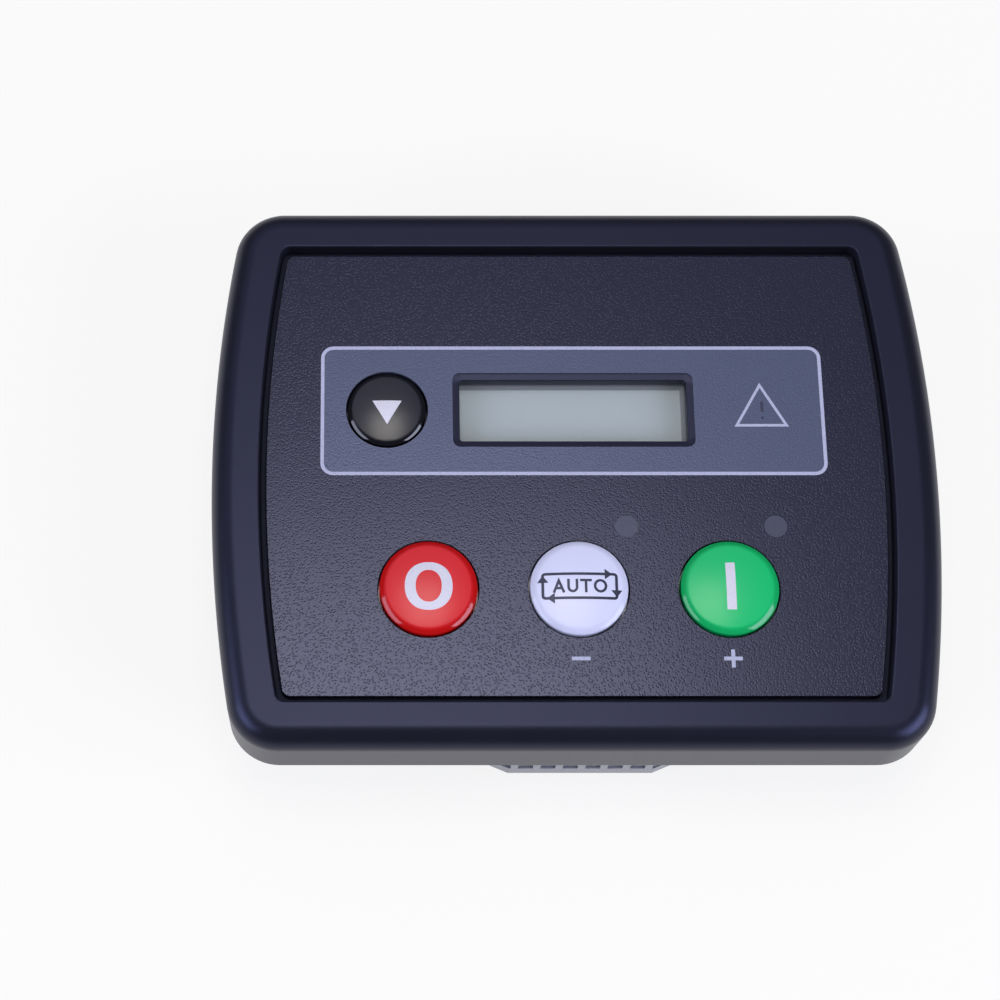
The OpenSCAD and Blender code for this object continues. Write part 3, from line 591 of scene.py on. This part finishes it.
spot_r = 2.55
window_top, window_foot = overlay_z + INK_LIFT, overlay_z - INK_SINK
window = [(0, window_top), (spot_r, window_top), (spot_r, window_foot), (0, window_foot)]
for lamp in ("auto", "start"):
    spot = node_centre(f"{lamp}_light_pipe")
    rings = np.stack([circle_ring(spot, r, z) for r, z in window])
    piece(f"{lamp}_lamp_window", [loft(rings)], "housing", window_ink)

# %% [markdown]
# ## The caps and their marks
# The caps are glossy acrylic lenses over a coloured layer, which is why their colour looks deep. A cap could
# be dressed as the frame has it, but its narrow sloping ring, which catches the side lamps, is what the eye
# knows it by. So each is turned anew, as a half section carried round the button's axis. Towards the ring,
# with the distance from that axis, the shine sharpens and the colour is painted darker. That darkening is
# painted shade on the ring, which slopes away from the light.


# %% Cap finish
rim_from, rim_to, dome_rough, ring_rough = 0.84, 0.94, 0.3, 0.09


def lens_cap(name, key, middle, rim, gloss=0.4):
    """Coloured plastic under a clear lens: from the middle to the rim, between two shares of the radius, the
    colour darkens and the roughness falls. The darkening is painted shade on the sloping ring."""
    made, place = begin(name)
    x, y = key_place[key] * MM
    radius = (hole_d[key] / 2) * MM
    away = add(made, "VectorMath", {0: place, 1: (x, y, 0)}, operation="SUBTRACT")
    level = add(made, "VectorMath", {0: away.outputs[0], 1: (1, 1, 0)}, operation="MULTIPLY")
    reach = add(made, "VectorMath", {0: level.outputs[0]}, operation="LENGTH")
    limits = {"From Min": rim_from * radius, "From Max": rim_to * radius}
    rim_shade_and_gloss = add(made, "MapRange", {"Value": reach.outputs["Value"], **limits}, interpolation_type="SMOOTHSTEP")
    spread = add(made, "MapRange", {"Value": rim_shade_and_gloss.outputs[0], "To Min": dome_rough, "To Max": ring_rough})
    tint = add(made, "Mix", {0: rim_shade_and_gloss.outputs[0], MIX_A: linear(middle), MIX_B: linear(rim)}, data_type="RGBA")
    inputs = {"Base Color": tint.outputs[MIX_OUT], "Roughness": spread.outputs[0]}
    return end(made, add(made, "BsdfPrincipled", {"IOR": 1.49, "Specular IOR Level": gloss, **inputs}))


# Polished acrylic: the dome veils the colour softly, and the ring shows the lamps as thin bright lines.
# The second colour of each cap is painted shade towards its ring, darker than the cap's own colour
cap_finish = {
    "scroll": lens_cap("scroll_lens", "scroll", "#1c1c24", "#0b0b0f", gloss=0.6),
    "stop": lens_cap("stop_lens", "stop", "#d8232a", "#bc0c0c"),
    "auto": lens_cap("auto_lens", "auto", "#d8daf0", "#d2d4ea"),
    "start": lens_cap("start_lens", "start", "#15c06c", "#10a85a"),
}
# The marks are pad printed, a little duller than the caps
mark_white = screen_ink("mark_white", "#d2cfd6", "#dad7dd", 0.35)
mark_grey = screen_ink("mark_grey", "#2a2b36", "#363743", 0.35)
print("cap finishes:", [finish.name for finish in cap_finish.values()])

# %% [markdown]
# A cap is a hollow moulding: a dome on top, a flange that holds it behind the plate, and a stem that stands
# on the switch, stiffened by two crossing ribs. A lathe suits it, since all but the ribs is round about one
# axis. The ring at the edge of the dome is an arc between two slopes, so that it meets the dome at a
# visible crease.

# %% Cap shapes
dome_rise, cap_wall, flange_t, flange_gap, stem_margin, cap_rib_t = 1.2, 1.8, 1.2, 0.3, 1.0, 1.4
ring_share, ring_steep, rim_soft = 0.885, (20, 42), 0.3


def dome_radius(key):
    """Radius of the sphere whose cap rises by dome_rise over the cap's own radius."""
    return ((hole_d[key] / 2) ** 2 + dome_rise**2) / (2 * dome_rise)


def arc_down(start, r, from_deg, to_deg, steps):
    """Arc in a section: it starts at a point, sloping down by one angle, and ends sloping down by another."""
    t = np.radians(np.linspace(from_deg, to_deg, steps))
    return np.array(start) + r * np.column_stack([np.sin(t) - np.sin(t[0]), np.cos(t) - np.cos(t[0])])


def cap_section(key):
    """Half section of a cap, (radius, z) from the top of its dome to the foot of its stem: the dome, the
    sloping ring round it, a small rim, the skirt, the flange behind the plate, and the hollow at the stem."""
    low, high = node_box(f"{key}_button")
    plunger_low, plunger_high = node_box(f"{key}_plunger")
    half_d, flange_half = hole_d[key] / 2, (high - low)[0] / 2
    stem = (plunger_high - plunger_low)[0] / 2 + stem_margin
    hollow, roof_z = half_d - cap_wall, high[2] - dome_rise - cap_wall
    ring_in = ring_share * half_d
    steep = np.sin(np.radians(ring_steep))
    ring_r = (half_d - ring_in - rim_soft * (1 - steep[1])) / (steep[1] - steep[0])
    dome_deg = math.degrees(math.asin(ring_in / dome_radius(key)))
    dome = arc_down((0, high[2]), dome_radius(key), 0, dome_deg, 16)
    ring = arc_down(dome[-1], ring_r, *ring_steep, 8)
    rim = arc_down(ring[-1], rim_soft, ring_steep[1], 90, 5)
    flange_z = plate_z - flange_gap - flange_t
    back = [(half_d, flange_z + flange_t), (flange_half, flange_z + flange_t), (flange_half, flange_z)]
    foot_z = plunger_high[2]
    back += [(hollow, flange_z), (hollow, roof_z), (stem, roof_z), (stem, foot_z), (0, foot_z)]
    return np.concatenate([dome, ring, rim, back])


def lathe(section, centre, steps=128):
    """Surface of revolution: each (radius, z) of a section is a circle about an upright axis."""
    return loft(np.stack([circle_ring(centre, r, z, steps) for r, z in section]))


# %% Make the caps
for key in keys:
    cap_x, cap_y = key_place[key]
    arm_long = hole_d[key] / 2 - cap_wall / 2
    rib_low, rib_high = plate_z - flange_gap, key_top[key] - dome_rise - cap_wall / 2
    arms = [
        block((cap_x - dx, cap_y - dy, rib_low), (cap_x + dx, cap_y + dy, rib_high))
        for dx, dy in ((arm_long, cap_rib_t / 2), (cap_rib_t / 2, arm_long))
    ]
    cap = piece(f"{key}_cap", [lathe(cap_section(key), key_place[key]), *arms], f"{key}_key", cap_finish[key])
    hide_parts(f"{key}_button")

# %% [markdown]
# The marks on the caps are the usual signs: a ring to stop, a bar to start, a down arrow to scroll, and a
# word in a loop of arrows. They lie on a dome, so each slab follows the sphere and rides with its button.
# The letters are centre lines with a width, like the lines of a drawing, which keeps them even and needs no
# font.


# %% Marks on the domes
def dome_height(key):
    """The dome of a cap: z = top - (R - sqrt(R^2 - d^2)), with the sphere's radius R."""
    dome_r = dome_radius(key)
    x0, y0 = key_place[key]
    return lambda x, y: key_top[key] - (dome_r - np.sqrt(dome_r**2 - (x - x0) ** 2 - (y - y0) ** 2))


def on_cap(key, points, closed=False):
    """A slab of ink on a cap's dome, from points about the cap's axis."""
    return slab(points + key_place[key], dome_height(key), INK_LIFT, INK_SINK, closed)


def oval(half, power=2.0, steps=96):
    """Superellipse |x/a|^p + |y/b|^p = 1 as a closed path."""
    a = np.linspace(0, 2 * math.pi, steps, endpoint=False)
    c, s = np.cos(a), np.sin(a)
    x = half[0] * np.sign(c) * np.abs(c) ** (2 / power)
    y = half[1] * np.sign(s) * np.abs(s) ** (2 / power)
    return np.column_stack([x, y])


def letters(height, width):
    """Centre lines of the word AUTO, each as (path, closed), between x = 0 and its full length."""
    a_w, u_w, t_w, o_w = 2.85, 2.45, 2.6, 3.0
    gap = 0.42
    u_r = u_w / 2 - width / 2
    bow = np.radians(np.linspace(180, 360, 13))
    x_u = a_w + gap + width / 2
    x_t = a_w + u_w + 2 * gap
    x_o = x_t + t_w + gap + o_w / 2
    u_foot = np.column_stack([x_u + u_r + u_r * np.cos(bow), u_r + width / 2 + u_r * np.sin(bow)])
    u_path = np.concatenate([[(x_u, height)], u_foot, [(x_u + 2 * u_r, height)]])
    top = height - width / 2
    return [
        (stretch([(width / 2, 0), (a_w / 2, height - width * 0.6), (a_w - width / 2, 0)]), False),
        (stretch([(a_w * 0.24, height * 0.33), (a_w * 0.76, height * 0.33)]), False),
        (stretch(u_path), False),
        (stretch([(x_t, top), (x_t + t_w, top)]), False),
        (stretch([(x_t + t_w / 2, top), (x_t + t_w / 2, 0)]), False),
        (oval((o_w / 2 - width / 2, height / 2 - width / 2)) + (x_o, height / 2), True),
    ]


# %% Print the caps
zero_half, zero_hole = (5.3, 5.55), (2.9, 3.7)
zero_outer, zero_inner = oval(zero_half, 2.2), oval(zero_hole, 2.15)
zero = zero_inner[:, None] + np.linspace(0, 1, 7)[None, :, None] * (zero_outer - zero_inner)[:, None]
piece("stop_mark", [on_cap("stop", zero, True)], "stop_key", mark_white)
bar_half, bar_w = 5.45, 2.1
bar = ribbon(stretch([(0, bar_half), (0, -bar_half)]), bar_w, cols=6)
piece("start_mark", [on_cap("start", bar)], "start_key", mark_white)
arrow_base, arrow_tip, arrow_w = (0, 1.7), (0, -4.0), 6.7
piece("scroll_mark", [on_cap("scroll", wedge(arrow_base, arrow_tip, arrow_w))], "scroll_key", mark_white)

letter_h, letter_w, loop_w = 3.15, 0.58, 0.62
loop_half, loop_r = np.array([8.2, 2.8]), 0.55
head_w, head_long = 2.5, 1.6
head_in, head_down, head_up = 2.6, 1.9, 2.0
word = letters(letter_h, letter_w)
word_long = max(path[:, 0].max() for path, _ in word) + letter_w / 2
shift = np.array([-word_long / 2, -letter_h / 2])
auto_parts = [on_cap("auto", ribbon(path + shift, letter_w, closed), closed) for path, closed in word]
loop_path = stretch(box_ring((0, 0), loop_half, loop_r, 0, 5)[:, :2], 0.4, True)
auto_parts.append(on_cap("auto", ribbon(loop_path, loop_w, True), True))
right, top = loop_half
heads = [
    ((right - head_in, top), (1, 0)),
    ((right, -top + head_down), (0, -1)),
    ((head_in - right, -top), (-1, 0)),
    ((-right, top - head_up), (0, 1)),
]
for base, way in heads:
    auto_parts.append(on_cap("auto", wedge(base, np.array(base) + head_long * np.array(way), head_w)))
piece("auto_mark", auto_parts, "auto_key", mark_grey)

# %% [markdown]
# ## The display
# Behind the opening lie a clear window and the display glass, unlit. Its polariser is a silvery grey-green,
# ruled by a dot grid that is only just lighter than the dots. Outside the viewing area the glass is painted
# darker. This is painted shade from the walls of the opening, and it shows as a band along the top and right.


# %% Display finishes
# The viewing area sits low and to the left, so the darker band outside it is painted shade along the top and
# right of the glass
shade_shift, view_half, shade_band_soft = (-0.5, -0.35), np.array([25.6, 7.2]), 0.12


def unlit_display(name, dot_mm=0.55):
    """Reflective display glass: a brick pattern without offset gives the dot grid. Outside the viewing area's
    rectangle the glass is darker, which is painted shade from the opening's walls along its top and right.
    The dots are drawn coarse enough to show."""
    made, place = begin(name)
    grid = {"Scale": per_metre(dot_mm), "Brick Width": 1.0, "Row Height": 1.0}
    gaps = {"Mortar Size": 0.07, "Mortar Smooth": 0.4}
    inks = {"Color1": linear("#a2adaa"), "Color2": linear("#a0aba9"), "Mortar": linear("#aab4b2")}
    dots = add(made, "TexBrick", {"Vector": place, **grid, **gaps, **inks}, offset=0.0, squash=1.0)
    middle = [*(display_centre + shade_shift) * MM, 0.0]
    away = add(made, "VectorMath", {0: place, 1: middle}, operation="SUBTRACT")
    fold = add(made, "VectorMath", {0: away.outputs[0]}, operation="ABSOLUTE")
    core = [*view_half * MM, 1.0]
    beyond = add(made, "VectorMath", {0: fold.outputs[0], 1: core}, operation="SUBTRACT")
    outside = add(made, "VectorMath", {0: beyond.outputs[0], 1: (0, 0, 0)}, operation="MAXIMUM")
    distance = add(made, "VectorMath", {0: outside.outputs[0]}, operation="LENGTH")
    shade_band_mask = add(made, "MapRange", {"Value": distance.outputs["Value"], "From Max": shade_band_soft * MM})
    mixed = {0: shade_band_mask.outputs[0], MIX_A: dots.outputs[0], MIX_B: linear("#5f5e65")}
    tint = add(made, "Mix", mixed, data_type="RGBA")
    inputs = {"Base Color": tint.outputs[MIX_OUT], "Roughness": 0.32, "IOR": 1.5}
    return end(made, add(made, "BsdfPrincipled", inputs))


def clear_window(name):
    """Clear acrylic window: almost all light passes, and a faint veil of fine scratches carries the shine."""
    made, place = begin(name)
    streak = add(made, "Mapping", {"Vector": place, "Scale": (1.0, 9.0, 1.0)})
    hair = add(made, "TexNoise", {"Vector": streak.outputs[0], "Scale": per_metre(6), "Detail": 4.0})
    spread = add(made, "MapRange", {"Value": hair.outputs[0], "To Min": 0.04, "To Max": 0.12})
    inputs = {"Base Color": linear("#dfe6e6"), "Roughness": spread.outputs[0], "IOR": 1.49, "Alpha": 0.10}
    return end(made, add(made, "BsdfPrincipled", inputs))


# %% [markdown]
# ## Metal, board and small parts
# Plated screws and pins are bright with a soft roll grain. The board is solder mask over copper, so lighter
# tracks show through its green. The parts inside are closed away, but each still has its own finish.


# %% Metal and board
def plated_metal(name, tint_low, tint_high, rough, grain_mm=0.25):
    """Plated metal: colour and roughness wander with a grain, drawn coarser than the real one so that it
    shows. A metal keeps the default IOR."""
    made, place = begin(name)
    grain = add(made, "TexNoise", {"Vector": place, "Scale": per_metre(grain_mm), "Detail": 4.0})
    mixed = {0: grain.outputs[0], MIX_A: linear(tint_low), MIX_B: linear(tint_high)}
    tint = add(made, "Mix", mixed, data_type="RGBA")
    spread = add(made, "MapRange", {"Value": grain.outputs[0], "To Min": rough[0], "To Max": rough[1]})
    inputs = {"Base Color": tint.outputs[MIX_OUT], "Roughness": spread.outputs[0], "Metallic": 1.0}
    return end(made, add(made, "BsdfPrincipled", inputs))


def solder_mask(name, base, track, track_mm=2.5, track_share=0.12, copper_mm=0.03):
    """Green lacquer over copper: cells of a Voronoi pattern leave lighter tracks between them."""
    made, place = begin(name)
    scale = {"Vector": place, "Scale": per_metre(track_mm)}
    cells = add(made, "TexVoronoi", scale, feature="DISTANCE_TO_EDGE")
    mask = add(made, "Math", {0: cells.outputs["Distance"], 1: track_share}, operation="LESS_THAN")
    tint = add(made, "Mix", {0: mask.outputs[0], MIX_A: linear(base), MIX_B: linear(track)}, data_type="RGBA")
    bump = add(made, "Bump", {"Height": mask.outputs[0], "Distance": copper_mm * MM})
    inputs = {"Base Color": tint.outputs[MIX_OUT], "Normal": bump.outputs[0], "Roughness": 0.3, "IOR": 1.5}
    return end(made, add(made, "BsdfPrincipled", inputs))


# %% [markdown]
# The rest of the frame keeps its own form and only needs its finish. Each could have its own material by
# hand, but many share one: grey nylon for the terminals, plated steel for screws and shells, black epoxy
# for chips. A table from node to finish is short, and it fails at once if a node is forgotten.

# %% Dress the frame's nodes
# Smoked acrylic pipes look dark grey until lit, and glass-filled nylon is a satin mid grey
smoked = moulded_plastic("smoked_acrylic", "#3f3f49", "#47474f", 0.6, 0.004, (0.38, 0.5))
nylon_grey = moulded_plastic("nylon_grey", "#88898f", "#93949a", 0.4, 0.006, (0.30, 0.42))
# Zinc-plated steel is bright and neutral, and tinned brass is a little warmer and duller
steel = plated_metal("plated_steel", "#b9bab6", "#cfd0cc", (0.24, 0.36))
tin = plated_metal("tinned_brass", "#bdbcb4", "#cfcdc4", (0.28, 0.40))
# Lacquer over copper: a smooth green with paler tracks
mask_green = solder_mask("solder_mask", "#0f5a34", "#1c7a49")
# Moulded parts differ in gloss as well as colour: a milky diffuser, waxy standoffs, chalky ferrite
finish_of = {
    "rear_case": case_abs,
    "fascia_overlay": face_film,
    "display_window": clear_window("window_acrylic"),
    "lcd_glass": unlit_display("display_glass"),
    "lcd_frame": moulded_plastic("frame_black", "#26262b", "#2e2e33", 0.5, 0.004, (0.4, 0.5)),
    "lcd_backlight": moulded_plastic("diffuser_white", "#e2e5e5", "#eceeee", 0.8, 0.004, (0.5, 0.6)),
    "lcd_standoffs": moulded_plastic("nylon_natural", "#d6d4c8", "#e2e0d4", 0.8, 0.004, (0.45, 0.55)),
    "supply_capacitors": plated_metal("can_aluminium", "#9fa1a6", "#b2b4b8", (0.3, 0.42)),
    "filter_inductor": moulded_plastic("ferrite", "#2c2c2f", "#343437", 0.3, 0.01, (0.5, 0.65)),
    "usb_socket": steel,
    "case_screws": steel,
}
# Lamp resin shines like its polished mould, relay covers and plungers are satin, and chip epoxy is matt
relay_blue = moulded_plastic("relay_blue", "#243a72", "#2b4380", 0.7, 0.004, (0.35, 0.45))
lamp_clear = moulded_plastic("lamp_resin", "#cfcfc8", "#dadad2", 0.8, 0.002, (0.2, 0.3))
plunger_cream = moulded_plastic("plunger_cream", "#d8d5c6", "#e3e0d2", 0.6, 0.004, (0.4, 0.5))
chip_black = moulded_plastic("chip_epoxy", "#17171a", "#1d1d20", 0.2, 0.008, (0.55, 0.7))
terminals = ("supply", "input", "generator")
shared = {
    nylon_grey: ["lcd_connector"] + [f"{t}_{p}" for t in terminals for p in ("header", "plug")],
    tin: [f"{t}_pins" for t in terminals],
    steel: [f"{t}_clamp_screws" for t in terminals],
    mask_green: ["circuit_board", "lcd_board"],
    chip_black: ["microcontroller", "sensing_resistors"] + [f"{key}_switch" for key in keys],
    relay_blue: ["fuel_relay", "start_relay"],
    lamp_clear: [f"{lamp}_lamp" for lamp in lamps],
    smoked: [f"{lamp}_light_pipe" for lamp in lamps],
    plunger_cream: [f"{key}_plunger" for key in keys],
    bezel_abs: ["front_bezel"],
}
finish_of.update({node: finish for finish, nodes in shared.items() for node in nodes})
finish_of.update({f"{key}_button": cap_finish[key] for key in keys})
for name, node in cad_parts.items():
    node.data.materials.clear()
    node.data.materials.append(finish_of[name])
print("dressed", len(finish_of), "nodes in", len(set(finish_of.values())), "finishes")

# %% [markdown]
# ## Floor, light and camera
# The controller lies on a white table under a pale ceiling and one softbox, whose blurred image is the
# sheen on the lower left of the film. Two low lamps at its sides draw the thin lights on the rings of the
# caps. The floor stays white to the camera and in reflections, and keeps a little of the shadow.


# %% Floor
white_share = 0.82


def white_table(name):
    """Matt white board, with a share of plain white added for camera, glossy and transmitted rays."""
    made, place = begin(name)
    cloud = add(made, "TexNoise", {"Vector": place, "Scale": per_metre(300)})
    mixed = {0: cloud.outputs[0], MIX_A: linear("#f4f0e4"), MIX_B: linear("#f6f3e8")}
    tint = add(made, "Mix", mixed, data_type="RGBA")
    board = add(made, "BsdfPrincipled", {"Base Color": tint.outputs[MIX_OUT], "Roughness": 0.9})
    rays = add(made, "LightPath")
    direct = {0: rays.outputs["Is Camera Ray"], 1: rays.outputs["Is Glossy Ray"]}
    seen = add(made, "Math", direct, operation="MAXIMUM")
    passed = {0: seen.outputs[0], 1: rays.outputs["Is Transmission Ray"]}
    seen = add(made, "Math", passed, operation="MAXIMUM")
    share = add(made, "Math", {0: seen.outputs[0], 1: white_share}, operation="MULTIPLY")
    white = add(made, "Emission", {"Color": (1, 1, 1, 1), "Strength": 1.0})
    return end(made, add(made, "MixShader", {0: share.outputs[0], 1: board.outputs[0], 2: white.outputs[0]}))


floor_reach, floor_z, floor_steps = 12.0, -0.0002, 9
floor_mesh = bpy.data.meshes.new("table")
span = np.linspace(-floor_reach, floor_reach, floor_steps)
floor_x, floor_y = np.meshgrid(span, span)
floor_points = np.stack([floor_x, floor_y, np.full_like(floor_x, floor_z)], -1).reshape(-1, 3)
floor_mesh.from_pydata(floor_points.tolist(), [], quads(floor_steps, floor_steps).tolist())
floor_mesh.materials.append(white_table("white_table"))
floor = bpy.data.objects.new("table", floor_mesh)
bpy.context.scene.collection.objects.link(floor)

# %% [markdown]
# A broad cool ceiling gives the even base light, and the softbox stands where the mirror image of the
# film's bright corner lies. The side lamps are low, since the sloping rings of the caps look sideways. One
# point lamp would light the part as well, but its shine would be a dot. Places and sizes are in metres, the
# power in watts.


# %% Lamps and world
def soft_lamp(name, place, aim, size, watts, colour):
    """Rectangular area lamp at a place, turned so that its face looks at a point."""
    data = bpy.data.lights.new(name, "AREA")
    data.shape = "RECTANGLE"
    data.size, data.size_y = size
    data.energy = watts
    data.color = linear(colour)[:3]
    lamp_object = bpy.data.objects.new(name, data)
    lamp_object.location = place
    from_to = Vector(aim) - Vector(place)
    lamp_object.rotation_euler = from_to.to_track_quat("-Z", "Y").to_euler()
    bpy.context.scene.collection.objects.link(lamp_object)
    print(f"{name}: {size[0]} x {size[1]} m, {watts} W")


COOL, WARM, world_strength = "#dfe4ff", "#fffaf2", 0.12
soft_lamp("ceiling", (-0.55, 1.7, 2.2), (-0.55, 1.7, 0), (3.3, 3.2), 17.0, COOL)
soft_lamp("softbox", (-0.04, 0.09, 0.97), (-0.04, 0.09, 0), (0.38, 0.42), 2.8, WARM)
soft_lamp("left_lamp", (-0.80, -0.26, 0.50), (0, 0, 0.03), (0.70, 0.50), 5.4, COOL)
soft_lamp("right_lamp", (0.76, -0.38, 0.50), (0, 0, 0.03), (0.70, 0.50), 7.6, COOL)
world = bpy.data.worlds.new("studio")
world.use_nodes = True
surround = world.node_tree.nodes["Background"].inputs
surround["Color"].default_value = linear(COOL)
surround["Strength"].default_value = world_strength
bpy.context.scene.world = world

# %% [markdown]
# The camera stands over the lower left of the face and looks down, tilted 20 degrees up the face. The
# photograph is part of a wider picture, so its centre lies off the lens axis, and the shift makes up for
# that.

# %% Camera
IMAGE_PX, FOCAL_PX, AXIS_PX, SENSOR_MM = 1000, 2400.0, 367.3, 36.0
camera_mm, tilt_deg, lift_px = np.array([-47.1, -192.4, 543.4]), 20, -0.5
camera_data = bpy.data.cameras.new("portrait")
camera_data.sensor_width = SENSOR_MM
camera_data.lens = FOCAL_PX / IMAGE_PX * SENSOR_MM
camera_data.shift_x = (IMAGE_PX / 2 - AXIS_PX) / IMAGE_PX
camera_data.shift_y = lift_px / IMAGE_PX
camera = bpy.data.objects.new("portrait", camera_data)
camera.location = camera_mm * MM
camera.rotation_euler = (math.radians(tilt_deg), 0, 0)
bpy.context.scene.collection.objects.link(camera)
bpy.context.scene.camera = camera
bpy.context.scene.view_settings.view_transform = "Standard"
print("lens", round(camera_data.lens, 1), "mm, shift", round(camera_data.shift_x, 4), camera_data.shift_y)
